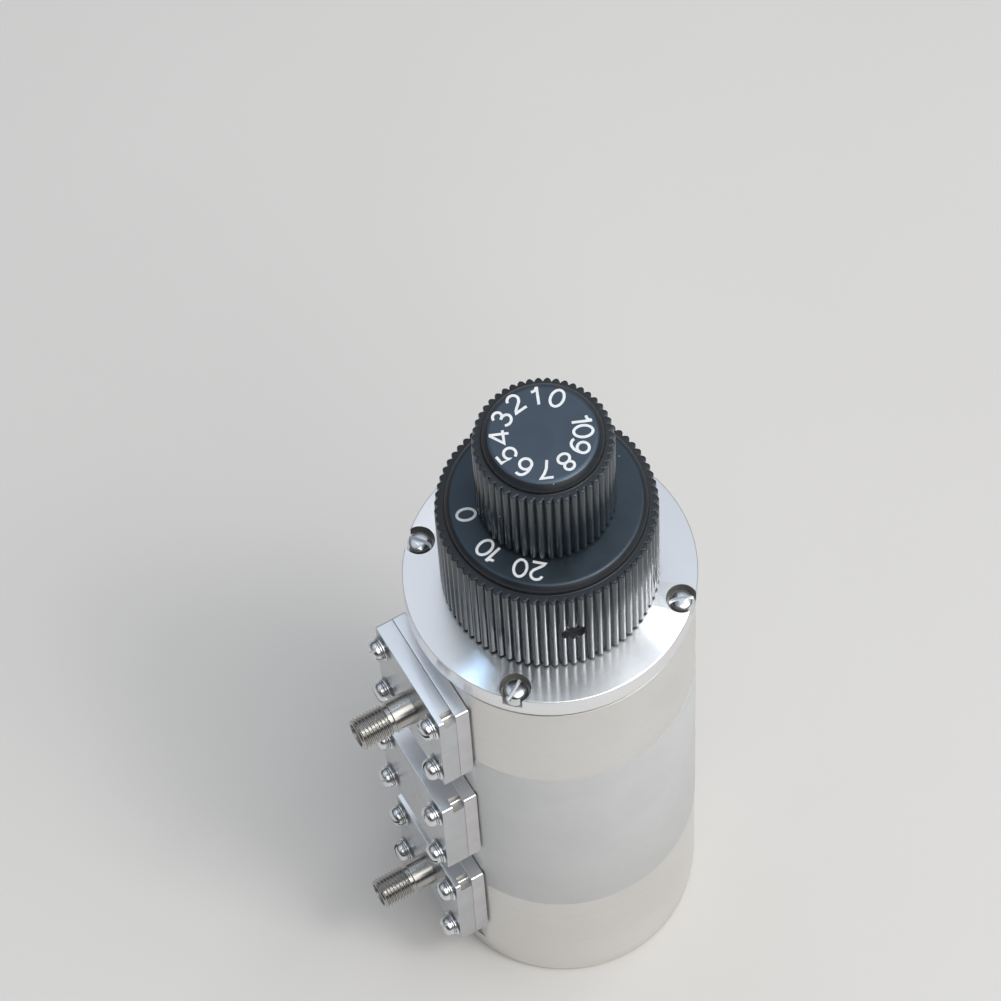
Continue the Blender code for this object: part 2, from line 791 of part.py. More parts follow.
def inner_dial():
    """Everything that turns with the smaller knob."""
    pivot = empty("inner_dial_axis")
    bottom = plate_top + knob_lift + outer_knob_height + knob_disc_height + knob_lift
    knob("inner_knob", inner_knob_radius, inner_knob_height, inner_knob_flutes, inner_knob_rim,
         inner_shaft_radius, False, bottom, inner_set_screw_azimuth, pivot)
    top = bottom + inner_knob_height - fit_gap
    low = base_thickness + fit_gap
    turned("inner_shaft", [
        (0, top),
        (inner_shaft_radius, top),
        (inner_shaft_radius, low),
        (0, low),
    ], plain_steel, 12, parent=pivot)
    rotor("lower_rotor", inner_shaft_radius, lower_rotor_top,
          [f"inner_cell_{k}" for k in range(inner_cells)], True, pivot)
    detent_wheel("lower_detent_wheel", inner_shaft_radius, lower_wheel_height, pivot)


for old in list(bpy.data.objects):
    bpy.data.objects.remove(old, do_unlink=True)

parts = new_collection("rotary_step_attenuator")
cutters = new_collection("cutters")

bright_aluminium = finish("bright_aluminium", (0.80, 0.82, 0.86), 1.0, 0.12)
satin_aluminium = finish("satin_aluminium", (0.66, 0.64, 0.61), 1.0, 0.38)
dark_aluminium = finish("dark_aluminium", (0.35, 0.36, 0.38), 1.0, 0.40)
black_anodised = finish("black_anodised", (0.020, 0.026, 0.034), 0.6, 0.42)
zinc_steel = finish("zinc_steel", (0.72, 0.74, 0.78), 1.0, 0.22)
plain_steel = finish("plain_steel", (0.50, 0.48, 0.45), 1.0, 0.28)
bronze = finish("bronze", (0.55, 0.38, 0.20), 1.0, 0.35)
brass = finish("brass", (0.78, 0.60, 0.30), 1.0, 0.30)
gold = finish("gold", (0.95, 0.72, 0.32), 1.0, 0.20)
white_dielectric = finish("white_dielectric", (0.82, 0.81, 0.78), 0.0, 0.45)

front_plate()
plate_screws()
shaft_bushing()
housing()
middle_bearing_plate()
base_plate()
base_screws()
for block_name, block_z in (("input", input_z), ("link", link_z), ("output", output_z)):
    side_block(block_name, block_z)
    side_cover(block_name, block_z)
for block_name, block_z, turn in (("input", input_z, -1), ("output", output_z, 1)):
    jack(block_name, block_z)
    insulator(block_name, block_z)
    contact(block_name, block_z, turn)
link_contact()
link_insulator()
block_screws()
outer_dial()
inner_dial()
detent_leaf("upper", plate_bottom - wheel_drop, plate_bottom - fit_gap)
detent_leaf("lower", lower_wheel_height, base_thickness + fit_gap)
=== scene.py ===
# The looks of a dual concentric rotary step attenuator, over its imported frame.
# Metres, +Z up. The jacks face -Y, and the dials turn about Z.
import math

import bpy
import numpy as np
from mathutils import Matrix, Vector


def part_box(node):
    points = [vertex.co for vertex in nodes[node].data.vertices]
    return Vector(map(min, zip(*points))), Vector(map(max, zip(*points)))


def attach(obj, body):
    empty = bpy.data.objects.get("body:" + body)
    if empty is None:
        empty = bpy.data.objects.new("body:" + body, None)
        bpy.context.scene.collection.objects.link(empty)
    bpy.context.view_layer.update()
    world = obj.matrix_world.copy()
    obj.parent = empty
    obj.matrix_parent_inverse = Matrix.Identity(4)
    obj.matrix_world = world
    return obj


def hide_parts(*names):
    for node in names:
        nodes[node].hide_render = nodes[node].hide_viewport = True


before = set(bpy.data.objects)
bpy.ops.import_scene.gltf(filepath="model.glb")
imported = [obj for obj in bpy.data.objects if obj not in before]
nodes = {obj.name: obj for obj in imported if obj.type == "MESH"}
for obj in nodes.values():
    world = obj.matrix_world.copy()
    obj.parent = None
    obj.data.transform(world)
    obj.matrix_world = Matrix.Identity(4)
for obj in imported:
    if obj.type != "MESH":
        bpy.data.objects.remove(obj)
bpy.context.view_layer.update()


# Housing
# A tube bored from aluminium bar. The outside is turned and then satin blasted, so faint rings
# still show, and the side that carries the blocks is milled flat.

def eased(corners, radius, steps=4, closed=False):
    """A polyline with each corner replaced by an arc: the quadratic curve between the two points
    that lie one radius from the corner, (1-t)^2 start + 2t(1-t) corner + t^2 end. Two corners
    share a short edge in the ratio of their radii."""
    corners = np.asarray(corners, float)
    reach = np.broadcast_to(np.asarray(radius, float), len(corners))[:, None]
    sides = []
    for way in (1, -1):
        side = np.roll(corners, way, axis=0) - corners
        length = np.linalg.norm(side, axis=1)[:, None]
        share = 0.98 * length * reach / np.maximum(reach + np.roll(reach, way, axis=0), 1e-9)
        sides.append(corners + side / length * np.minimum(reach, share))
    start, end = sides
    t = np.linspace(0, 1, steps + 1)[None, :, None]
    arcs = (1 - t) ** 2 * start[:, None] + 2 * t * (1 - t) * corners[:, None] + t ** 2 * end[:, None]
    if closed:
        return arcs.reshape(-1, 2)
    return np.concatenate([corners[:1], arcs[1:-1].reshape(-1, 2), corners[-1:]])


def turned(profile, angles=128):
    """Rings round Z, (r cos a, r sin a, z) for each (r, z) of the profile and each angle a.
    The profile runs up its outer side, so that the faces point outwards."""
    if np.ndim(angles) == 0:
        angles = np.linspace(0, 2 * np.pi, angles, endpoint=False)
    profile = np.asarray(profile, float)
    radius, height = profile[:, :1], profile[:, 1:]
    return np.stack([radius * np.cos(angles), radius * np.sin(angles), height + 0 * angles], -1)


def skin(name, *grids, closed=False, sharp=35):
    """A mesh over grids of points [ring, point, xyz]. A ring closes on itself, and the last ring
    joins the first if closed, or else a fan to its middle fills each end ring. The UV map is the
    share of the way round the ring and the distance along the rings in metres."""
    points_list, faces, uvs, base = [], [], [], 0
    for points in grids:
        rings, columns = points.shape[:2]
        here = np.arange(columns)
        beside = (here + 1) % columns
        low = np.arange(rings if closed else rings - 1)[:, None]
        high = (low + 1) % rings
        quads = np.stack([low * columns + here, low * columns + beside,
                          high * columns + beside, high * columns + here], -1)
        steps = np.linalg.norm(np.diff(points[:, 0], axis=0, append=points[:1, 0]), axis=1)
        run = np.concatenate([[0], np.cumsum(steps)])
        u = np.broadcast_to(np.stack([here, here + 1, here + 1, here], -1) / columns, quads.shape)
        v = np.stack([run[low], run[low], run[low + 1], run[low + 1]], -1) + 0 * u
        points_list.append(points.reshape(-1, 3))
        faces += (quads.reshape(-1, 4) + base).tolist()
        uvs.append(np.stack([u, v], -1).reshape(-1, 2))
        middle = base + rings * columns
        if not closed:
            for ring, one, other in ((0, beside, here), (rings - 1, here, beside)):
                fan = np.stack([np.full(columns, middle), base + ring * columns + one,
                                base + ring * columns + other], -1)
                points_list.append(points[ring].mean(0)[None])
                faces += fan.tolist()
                uvs.append(np.tile([[0.5, run[ring]]], (3 * columns, 1)))
                middle += 1
        base = middle
    mesh = bpy.data.meshes.new(name)
    mesh.from_pydata(np.concatenate(points_list), [], faces)
    mesh.uv_layers.new(name="UVMap").data.foreach_set("uv", np.concatenate(uvs).ravel())
    mesh.shade_smooth()
    mesh.set_sharp_from_angle(angle=math.radians(sharp))
    return mesh


def piece(name, mesh, material, body, slot, *stands_for):
    """Put a mesh in the scene on its CAD body, in place of the CAD nodes that it stands for."""
    thing = bpy.data.objects.new(name, mesh)
    bpy.context.scene.collection.objects.link(thing)
    mesh.materials.clear()
    mesh.materials.append(material)
    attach(thing, body)
    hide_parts(*stands_for)
    return thing


def add(tree, kind, inputs=None, **settings):
    """A shader node. Its inputs are values, or sockets of other nodes to link."""
    node = tree.nodes.new(kind)
    for key, value in settings.items():
        setattr(node, key, value)
    for key, value in (inputs or {}).items():
        if isinstance(value, bpy.types.NodeSocket):
            tree.links.new(value, node.inputs[key])
        else:
            node.inputs[key].default_value = value
    return node


def maths(tree, operation, *values):
    """The output of a Math node."""
    return add(tree, "ShaderNodeMath", dict(enumerate(values)), operation=operation).outputs[0]


def effect(name, inputs, outputs):
    """A node group with named sockets, given as (name, kind, default)."""
    group = bpy.data.node_groups.new(name, "ShaderNodeTree")
    for socket, kind, value in inputs:
        made = group.interface.new_socket(socket, in_out="INPUT", socket_type=f"NodeSocket{kind}")
        if value is not None:
            made.default_value = value
    for socket, kind in outputs:
        group.interface.new_socket(socket, in_out="OUTPUT", socket_type=f"NodeSocket{kind}")
    return group, group.nodes.new("NodeGroupInput"), group.nodes.new("NodeGroupOutput")


def use(tree, group, **inputs):
    """Place a node group in a material. Underscores stand for spaces in its sockets' names."""
    return add(tree, "ShaderNodeGroup", {key.replace("_", " "): value for key, value in inputs.items()},
               node_tree=group)


# Fine parallel tool marks: noise that varies along one line only, in two sizes.
tool_marks, marks_in, marks_out = effect(
    "tool marks", [("Distance", "Float", 0.0), ("Spacing", "Float", 0.0002)],
    [("Height", "Float"), ("Tone", "Float")])
lines = maths(tool_marks, "DIVIDE", marks_in.outputs["Distance"], marks_in.outputs["Spacing"])
fine = add(tool_marks, "ShaderNodeTexNoise", {"W": lines, "Scale": 1.0, "Detail": 2.0}, noise_dimensions="1D")
broad = add(tool_marks, "ShaderNodeTexNoise", {"W": maths(tool_marks, "MULTIPLY", lines, 0.11), "Scale": 1.0,
                                              "Detail": 3.0}, noise_dimensions="1D")
tool_marks.links.new(fine.outputs[0], marks_out.inputs["Height"])
tool_marks.links.new(broad.outputs[0], marks_out.inputs["Tone"])

# Handling: soft patches where fingers and cloths have been, between 0 and 1.
handling, handling_in, handling_out = effect(
    "handling", [("Position", "Vector", None), ("Size", "Float", 0.006)], [("Mask", "Float")])
patches = add(handling, "ShaderNodeTexNoise",
              {"Vector": handling_in.outputs["Position"],
               "Scale": maths(handling, "DIVIDE", 1.0, handling_in.outputs["Size"]),
               "Detail": 4.0, "Roughness": 0.6, "Distortion": 0.4})
spread = add(handling, "ShaderNodeMapRange", {"Value": patches.outputs[0], "From Min": 0.35, "From Max": 0.65},
             interpolation_type="SMOOTHSTEP")
handling.links.new(spread.outputs[0], handling_out.inputs["Mask"])


def finish(name, colour, metallic, roughness, **sockets):
    """A material's Principled shader with its plain values, and the node tree to add to."""
    material = bpy.data.materials.new(name)
    material.use_nodes = True
    tree = material.node_tree
    shader = tree.nodes["Principled BSDF"]
    values = {"Base Color": (*colour, 1), "Metallic": metallic, "Roughness": roughness}
    values.update({key.replace("_", " "): value for key, value in sockets.items()})
    for key, value in values.items():
        shader.inputs[key].default_value = value
    return material, tree, shader


def vary(tree, shader, colour, light, roughness, swing, mask):
    """Colour and roughness between two values by a mask from 0 to 1."""
    mix = add(tree, "ShaderNodeMix", {"Factor": mask, "A": (*colour, 1), "B": (*light, 1)}, data_type="RGBA")
    tree.links.new(mix.outputs["Result"], shader.inputs["Base Color"])
    rough = add(tree, "ShaderNodeMapRange", {"Value": mask, "To Min": roughness, "To Max": roughness + swing})
    tree.links.new(rough.outputs[0], shader.inputs["Roughness"])


def emboss(tree, shader, height, distance):
    """Tilt the normals by a height from 0 to 1, which stands for that distance in metres."""
    bump = add(tree, "ShaderNodeBump", {"Height": height, "Distance": distance})
    tree.links.new(bump.outputs[0], shader.inputs["Normal"])


def worn(tree, shader, place, distance, spacing, blotch, colour, light, roughness, swing, depth):
    """Tool marks along a distance, under patches of handling: the colour and roughness follow the
    mean of the two, and the marks' height tilts the normals."""
    marks = use(tree, tool_marks, Distance=distance, Spacing=spacing)
    touched = use(tree, handling, Position=place.outputs["Object"], Size=blotch)
    mask = maths(tree, "MULTIPLY_ADD", marks.outputs["Tone"], 0.5,
                 maths(tree, "MULTIPLY", touched.outputs["Mask"], 0.5))
    vary(tree, shader, colour, light, roughness, swing, mask)
    emboss(tree, shader, marks.outputs["Height"], depth)


def turned_metal(name, colour, light, roughness, swing, spacing, depth, blotch, stretch=0.0):
    """Metal turned on a lathe: rings along the UV map's distance, under patches of handling. Where
    the rings run round Z, they stretch reflections across themselves."""
    material, tree, shader = finish(name, colour, 1.0, roughness, Anisotropic=stretch, Anisotropic_Rotation=0.25)
    if stretch:
        around = add(tree, "ShaderNodeTangent", direction_type="RADIAL", axis="Z")
        tree.links.new(around.outputs[0], shader.inputs["Tangent"])
    place = add(tree, "ShaderNodeTexCoord")
    along = add(tree, "ShaderNodeSeparateXYZ", {"Vector": place.outputs["UV"]})
    worn(tree, shader, place, along.outputs["Y"], spacing, blotch, colour, light, roughness, swing, depth)
    return material


seam = 0.00012      # the line that is left between two parts in contact
flat_distance = -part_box("input_block")[1].y - 0.0003
housing_low, housing_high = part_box("housing")
housing_radius = housing_high.x
bore_radius = 0.0216
tube_edge = 0.0003
half_flat = math.acos(flat_distance / housing_radius)

on_flat = np.linspace(1.5 * np.pi - half_flat, 1.5 * np.pi + half_flat, 33)
on_round = np.linspace(on_flat[-1], on_flat[0] + 2 * np.pi, 260)[1:-1]
tube_angles = np.concatenate([on_flat, on_round])
tube_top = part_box("front_plate")[0].z - seam
step_low, step_depth = tube_top - 0.0012, 0.0006
tube = turned(eased([(bore_radius, housing_low.z), (housing_radius, housing_low.z), (housing_radius, step_low),
                     (housing_radius - step_depth, step_low), (housing_radius - step_depth, tube_top),
                     (bore_radius, tube_top)], [0.0001, tube_edge, 0.0001, 0.0001, 0.0001, 0.0001], closed=True),
              tube_angles)
reach = np.hypot(tube[..., 0], tube[..., 1])
milled = np.minimum(reach, (flat_distance - (housing_radius - reach)) / np.maximum(-np.sin(tube_angles), 0.1))
tube[..., :2] *= (np.where(reach > 0.5 * (bore_radius + housing_radius), milled, reach) / reach)[..., None]

satin_tube = turned_metal("satin aluminium tube", (0.76, 0.745, 0.72), (0.82, 0.81, 0.79), 0.38, 0.10,
                          0.00022, 0.000004, 0.018, stretch=0.5)
# Painted shade: a darker grey metal for recesses. It darkens the tube's step under the plate, the plate's screw pockets
# and the covers' notches.
recess_shade_grey = turned_metal("painted shade in recesses", (0.50, 0.49, 0.47), (0.62, 0.61, 0.59), 0.40, 0.15, 0.0002,
                        0.000006, 0.003)


def paint(thing, material, where):
    """Give another material to the faces for which where(centres, normals) is true."""
    mesh = thing.data
    centres, normals = np.empty(3 * len(mesh.polygons)), np.empty(3 * len(mesh.polygons))
    mesh.polygons.foreach_get("center", centres)
    mesh.polygons.foreach_get("normal", normals)
    mesh.materials.append(material)
    slots = np.empty(len(mesh.polygons), int)
    mesh.polygons.foreach_get("material_index", slots)
    chosen = where(centres.reshape(-1, 3), normals.reshape(-1, 3))
    mesh.polygons.foreach_set("material_index", np.where(chosen, len(mesh.materials) - 1, slots))


def in_the_step(centres, normals):
    """True above the step's floor and inside the tube's radius."""
    return (np.hypot(centres[:, 0], centres[:, 1]) < housing_radius - 0.0002) & (centres[:, 2] > step_low - 0.0001)


housing_tube = piece("housing_tube", skin("housing_tube", tube, closed=True), satin_tube, "attenuator", "housing",
                     "housing")
# Painted shade: the step under the plate's overhang takes the darker grey.
paint(housing_tube, recess_shade_grey, in_the_step)


# Wrap
# A matte grey polyester film with its edges cut square, stuck round the tube up to the flat.
# Its face is bare.
wrap_low, wrap_high = 0.035, 0.093
wrap_thickness = 0.00009
wrap_margin = 0.03      # radians, from the flat's edges

round_way = np.linspace(on_flat[-1] + wrap_margin, on_flat[0] + 2 * np.pi - wrap_margin, 240)
film_section = np.array([(housing_radius + 0.00001, wrap_low), (housing_radius + wrap_thickness, wrap_low),
                         (housing_radius + wrap_thickness, wrap_high), (housing_radius + 0.00001, wrap_high)])
film = turned(eased(film_section, 0.00003, 2, closed=True), round_way).transpose(1, 0, 2)[:, ::-1]

matte_film, film_tree, film_shader = finish("matte grey film", (0.69, 0.70, 0.705), 0.0, 0.40)
film_place = add(film_tree, "ShaderNodeTexCoord")
film_touched = use(film_tree, handling, Position=film_place.outputs["Object"], Size=0.012)
vary(film_tree, film_shader, (0.66, 0.67, 0.675), (0.69, 0.70, 0.705), 0.38, 0.03, film_touched.outputs["Mask"])
film_grain = add(film_tree, "ShaderNodeTexNoise", {"Vector": film_place.outputs["Object"], "Scale": 5200.0,
                                                  "Detail": 2.0})
emboss(film_tree, film_shader, film_grain.outputs[0], 0.000004)
wrap = bpy.data.objects.new("housing_wrap", skin("housing_wrap", film))
bpy.context.scene.collection.objects.link(wrap)
wrap.data.materials.append(matte_film)
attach(wrap, "attenuator")


# Base plate and its screws
# The turned bottom cover is a little smaller than the tube, with a chamfer to stand on. Four
# countersunk screws hold it from below.
base_low, base_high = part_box("base_plate")
base_radius = base_high.x
base_thickness = housing_low.z - seam
base = turned(eased([(0.0, 0.0), (base_radius - 0.0006, 0.0), (base_radius, 0.0006), (base_radius, base_thickness),
                     (0.005, base_thickness), (0.005, base_high.z), (0.0, base_high.z)], 0.0001), 192)
base_metal = turned_metal("turned base", (0.74, 0.725, 0.70), (0.80, 0.79, 0.77), 0.28, 0.10, 0.0002, 0.000004, 0.015)


def cut(mesh, *cutters, sharp=35):
    """The mesh with closed cutter meshes taken away from it."""
    thing = bpy.data.objects.new("cut", mesh)
    bpy.context.scene.collection.objects.link(thing)
    tools = []
    for cutter in cutters:
        tool = bpy.data.objects.new("tool", cutter)
        bpy.context.scene.collection.objects.link(tool)
        boolean = thing.modifiers.new("cut", "BOOLEAN")
        boolean.operation = "DIFFERENCE"
        boolean.solver = "EXACT"
        boolean.object = tool
        tools.append(tool)
    result = bpy.data.meshes.new_from_object(thing.evaluated_get(bpy.context.evaluated_depsgraph_get()))
    for old in [thing, *tools]:
        bpy.data.objects.remove(old)
    result.shade_smooth()
    result.set_sharp_from_angle(angle=math.radians(sharp))
    return result


def moved(mesh, *matrices):
    """A copy of the mesh, taken through the matrices from the last to the first."""
    copy = mesh.copy()
    place = Matrix.Identity(4)
    for matrix in matrices:
        place = place @ matrix
    copy.transform(place)
    return copy


def at_angle(radius, degrees, height):
    """A move to that distance from Z, at that azimuth and height."""
    angle = math.radians(degrees)
    return Matrix.Translation((radius * math.cos(angle), radius * math.sin(angle), height))


def spin(degrees):
    return Matrix.Rotation(math.radians(degrees), 4, "Z")


def slot_cutter(half_width, bottom):
    """The end mill's path across a head: a long box with its bottom at that height."""
    outline = np.array([(-0.01, -half_width), (0.01, -half_width), (0.01, half_width), (-0.01, half_width)])
    rings = [np.column_stack([outline, np.full(4, z)]) for z in (bottom, 0.02)]
    return skin("slot", np.stack(rings))


quarters = (225, 315, 45, 135)      # degrees, of the screws in both ends of the tube
base_screw_radius = 0.0019
base_circle = 0.0229
sinks = [moved(skin("sink", turned([(0.0014, 0.0034), (0.0014, 0.0008), (base_screw_radius + 0.0006, -0.0001),
                                    (base_screw_radius + 0.0006, -0.001)][::-1], 40)),
               at_angle(base_circle, degrees, 0)) for degrees in quarters]
piece("base_cover", cut(skin("base_cover", base), *sinks), base_metal, "attenuator", "housing", "base_plate")

bright_zinc = turned_metal("bright zinc", (0.68, 0.70, 0.72), (0.80, 0.82, 0.84), 0.20, 0.08, 0.00012, 0.0000010, 0.003)
flat_head = turned(eased([(0.0, -0.01085), (0.0011, -0.01085), (0.0011, -0.0009), (base_screw_radius, -0.0001),
                          (base_screw_radius, 0.0), (0.0, 0.0)], 0.00005), 40)
flat_screw = cut(skin("flat_screw", flat_head), slot_cutter(0.0003, -0.0006))
upside_down = Matrix.Rotation(math.pi, 4, "X")
for k, degrees in enumerate(quarters):
    piece(f"base_screw_{k + 1}_head", moved(flat_screw, at_angle(base_circle, degrees, 0.00015), upside_down,
                                            spin(31 + 67 * k)),
          bright_zinc, "attenuator", "screw", f"base_screw_{k + 1}")


# Side blocks
# Each block is two milled aluminium plates: a block on the flat and a brighter cover over it.
# A corner of the cover is notched, to pry it off.
def slab(width, height, depth, corner=0.0005, edge=0.0002):
    """A plate on Z = 0. Its outline is a rounded rectangle, and its rings run from the back over
    the eased edges to the front: each ring is the outline moved inwards by the edge's profile."""
    arc = np.radians(np.linspace(0, 90, 7))
    turns = np.concatenate([arc + k * np.pi / 2 for k in range(4)])
    sx = np.repeat([1, -1, -1, 1], 7)
    sy = np.repeat([1, 1, -1, -1], 7)
    section = eased([(edge + 0.0001, 0.0), (0.0, 0.0), (0.0, depth), (edge + 0.0001, depth)], edge, 5)
    inset, z = section[:, :1], section[:, 1:]
    radius = np.maximum(corner - inset, 0.00002)
    centre_x = width / 2 - inset - radius
    centre_y = height / 2 - inset - radius
    return np.stack([sx * centre_x + radius * np.cos(turns), sy * centre_y + radius * np.sin(turns),
                     z + 0 * turns], -1)


facing_out = Matrix.Rotation(math.pi / 2, 4, "X")      # local X stays, local Y is up, local Z is -Y


def out_at(distance, across, height):
    """A turn to face -Y and a move to that distance in front of Z."""
    return Matrix.Translation((across, -distance, height)) @ facing_out


def milled_metal(name, colour, light, roughness, swing, spacing, depth, axis):
    """Metal faced with a milling cutter: straight tool marks along an object axis, and handling."""
    material, tree, shader = finish(name, colour, 1.0, roughness)
    place = add(tree, "ShaderNodeTexCoord")
    across = add(tree, "ShaderNodeSeparateXYZ", {"Vector": place.outputs["Object"]})
    worn(tree, shader, place, across.outputs[axis], spacing, 0.006, colour, light, roughness, swing, depth)
    return material


milled_block = milled_metal("milled block", (0.56, 0.555, 0.58), (0.66, 0.655, 0.68), 0.30, 0.12, 0.00018, 0.000004,
                            "Z")
milled_cover = milled_metal("milled cover", (0.50, 0.515, 0.54), (0.60, 0.615, 0.64), 0.25, 0.10, 0.00015, 0.000003,
                            "X")
# Painted light: a near-white, bluish copy of the milled metal for upward faces, standing for the light that falls on
# them from above.
top_light_paint = milled_metal("painted light on upward faces", (0.88, 0.91, 0.96), (0.93, 0.96, 0.99), 0.28, 0.06, 0.00015, 0.000001,
                           "X")
block_z = {}
notch = 0.0021


def is_up(centres, normals):
    """True within about 45 degrees of upwards."""
    return normals[:, 2] > 0.7


def in_the_notch(centres, normals):
    """True on the faces that meet in the notch's inner corner."""
    corner = np.array([width / 2 - notch, high.y - notch, high.z - notch])
    depth = centres - corner + 0.00001
    return (depth > 0).all(axis=1) & (np.abs(depth) < 0.00002).any(axis=1)


for block in ("input", "link", "output"):
    low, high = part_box(f"{block}_block")
    middle = (low.z + high.z) / 2
    block_z[block] = middle
    width, height = high.x - low.x, high.z - low.z
    inner = piece(f"{block}_inner_plate", moved(skin("plate", slab(width, height, -flat_distance - seam - low.y)),
                                                out_at(flat_distance + seam, 0, middle)),
                  milled_block, "attenuator", "housing", f"{block}_block")
    # Painted light: the plate's upward faces are lighter than its sides.
    paint(inner, top_light_paint, is_up)
    block_front = -low.y
    low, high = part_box(f"{block}_cover")
    cutter = moved(skin("notch", slab(2 * notch, 2 * notch, 2 * notch)),
                   out_at(-high.y - notch, width / 2, middle + height / 2))
    cover = piece(f"{block}_outer_plate", cut(moved(skin("cover", slab(width, height, -low.y - block_front)),
                                                    out_at(block_front, 0, middle)), cutter),
                  milled_cover, "attenuator", "housing", f"{block}_cover")
    # Painted light: the cover's upward faces are lighter than its sides.
    paint(cover, top_light_paint, is_up)
    # Painted shade: the faces in the notch take the darker recess grey.
    paint(cover, recess_shade_grey, in_the_notch)


# Jacks
# Coaxial jacks turned from steel, with a rolled 1/4-36 thread. A white sleeve carries the
# gold-plated socket contact.
thread_pitch = 0.0254 / 36
jack_radius = 0.003175
cover_back = -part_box("input_cover")[1].y
jack_front = -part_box("input_jack")[0].y - cover_back
thread_length = 0.0064
thread_depth = 0.00034
start = jack_front - thread_length
waist = jack_radius - thread_depth
thread_rows = 200
thread_z = np.linspace(start, jack_front - 0.0003, thread_rows)
jack_profile = np.concatenate([
    eased([(0.0020, 0.0), (0.0043, 0.0), (0.0043, 0.0012), (jack_radius, 0.0012),
           (jack_radius, start - 0.0008), (waist, start - 0.0008), (waist, start)], 0.00012),
    np.column_stack([np.full(thread_rows, jack_radius), thread_z])[1:],
    eased([(jack_radius, jack_front - 0.0003), (waist, jack_front), (0.0023, jack_front),
           (0.0023, jack_front - 0.0019), (0.0020, jack_front - 0.0019), (0.0020, 0.0002)], 0.00006)[1:],
])
jack_angles = np.linspace(0, 2 * np.pi, 120, endpoint=False)
jack_rings = turned(jack_profile, jack_angles)
z = jack_rings[..., 2]
phase = (z / thread_pitch - jack_angles / (2 * np.pi)) % 1
vee = np.clip(1.3 * np.abs(2 * phase - 1) - 0.15, 0, 1)
fade = np.clip((z - start) / 0.0004, 0, 1) * np.clip((jack_front - 0.0003 - z) / 0.0002, 0, 1)
outer = np.hypot(jack_rings[..., 0], jack_rings[..., 1]) > 0.0030
threaded = (z > start) & (z < jack_front - 0.00025) & outer
depth = np.where(threaded, thread_depth * ((1 - vee) * fade + (1 - fade) * 0.6), 0)
jack_rings[..., :2] *= (1 - depth / np.hypot(jack_rings[..., 0], jack_rings[..., 1]))[..., None]
jack_mesh = skin("jack", jack_rings, closed=True, sharp=75)
jack_steel = turned_metal("jack steel", (0.40, 0.39, 0.375), (0.50, 0.49, 0.47), 0.21, 0.06, 0.00010, 0.0000002, 0.012)

white_sleeve, sleeve_tree, sleeve_shader = finish("white sleeve", (0.80, 0.79, 0.76), 0.0, 0.45)
sleeve_place = add(sleeve_tree, "ShaderNodeTexCoord")
sleeve_touched = use(sleeve_tree, handling, Position=sleeve_place.outputs["Object"], Size=0.002)
vary(sleeve_tree, sleeve_shader, (0.76, 0.75, 0.71), (0.83, 0.82, 0.80), 0.40, 0.15, sleeve_touched.outputs["Mask"])
gold = turned_metal("gold plate", (0.90, 0.66, 0.28), (0.96, 0.74, 0.36), 0.16, 0.10, 0.0001, 0.000001, 0.003)

sleeve_front = jack_front - 0.0019
sleeve_rings = turned(eased([(0.00075, -0.0019), (0.0019, -0.0019), (0.0019, sleeve_front), (0.00075, sleeve_front)],
                            0.00005, closed=True), 48)
contact_rings = turned(eased([(0.0, -0.012), (0.000635, -0.012), (0.000635, sleeve_front), (0.00042, sleeve_front),
                              (0.00042, sleeve_front - 0.0022), (0.0, sleeve_front - 0.0022)], 0.00004), 32)
cross = [moved(slot_cutter(0.00007, sleeve_front - 0.0020), spin(90 * k)) for k in range(2)]
contact_mesh = cut(skin("contact", contact_rings), *cross)
for block in ("input", "output"):
    there = out_at(cover_back, 0, block_z[block])
    piece(f"{block}_jack_body", moved(jack_mesh, there), jack_steel, "attenuator", "steel", f"{block}_jack")
    piece(f"{block}_jack_sleeve", moved(skin("sleeve", sleeve_rings, closed=True), there), white_sleeve,
          "attenuator", "dielectric", f"{block}_insulator")
    piece(f"{block}_jack_socket", moved(contact_mesh, there), gold, "attenuator", "contact", f"{block}_contact")


# Block screws
# Slotted pan-head screws, zinc plated, each with a flat washer and a spring washer under its head.
head_radius = 0.0021
pan_profile = eased([(0.0, -0.0098), (0.0010, -0.0098), (0.0010, -0.0001), (0.0010, 0.0), (0.0026, 0.0),
                     (0.0026, 0.00034), (0.0018, 0.00035), (0.0018, 0.00040), (0.00215, 0.00041),
                     (0.00215, 0.00068), (0.0017, 0.00069), (0.0017, 0.00074), (head_radius, 0.00076),
                     (head_radius, 0.0016), (0.0016, 0.00225), (0.0008, 0.0024), (0.0, 0.0024)],
                    [0, .00005, .00005, 0, .00008, .00012, .00002, .00002, .00006, .00006, .00002, .00002, .00012,
                     .0005, .0004, .0004, 0])
pan_screw = cut(skin("pan_screw", turned(pan_profile, 56)), slot_cutter(0.00030, 0.0015))
for j, block in enumerate(("input", "link", "output")):
    low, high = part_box(f"{block}_cover")
    for k in range(4):
        name = f"{block}_screw_{k + 1}"
        head_low, head_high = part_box(name)
        there = out_at(-low.y + 0.0003, (head_low.x + head_high.x) / 2, (head_low.z + head_high.z) / 2)
        piece(f"{name}_body", moved(pan_screw, there, spin(23 + 47 * k + 71 * j)), bright_zinc,
              "attenuator", "screw", name)


# Front plate
# A thick disc, its face turned bright with a sharp tool. Four pockets, milled through its rim,
# take the heads of the screws that hold it on the tube.
plate_low, plate_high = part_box("front_plate")
plate_radius = plate_high.x
plate_top = plate_high.z
pocket_circle = 0.0247
pocket_radius = 0.0029
pocket_floor = plate_top - 0.0030
disc = turned(eased([(0.0054, plate_low.z), (plate_radius, plate_low.z), (plate_radius, plate_top),
                     (0.0054, plate_top)], [0.0001, 0.0002, 0.00025, 0.0001], closed=True), 288)
pocket = skin("pocket", turned([(pocket_radius, pocket_floor), (pocket_radius, plate_top + 0.002)], 72))
bright_turned = turned_metal("bright turned plate", (0.88, 0.89, 0.91), (0.93, 0.94, 0.95), 0.17, 0.03, 0.00016,
                             0.0000006, 0.012, stretch=1.0)


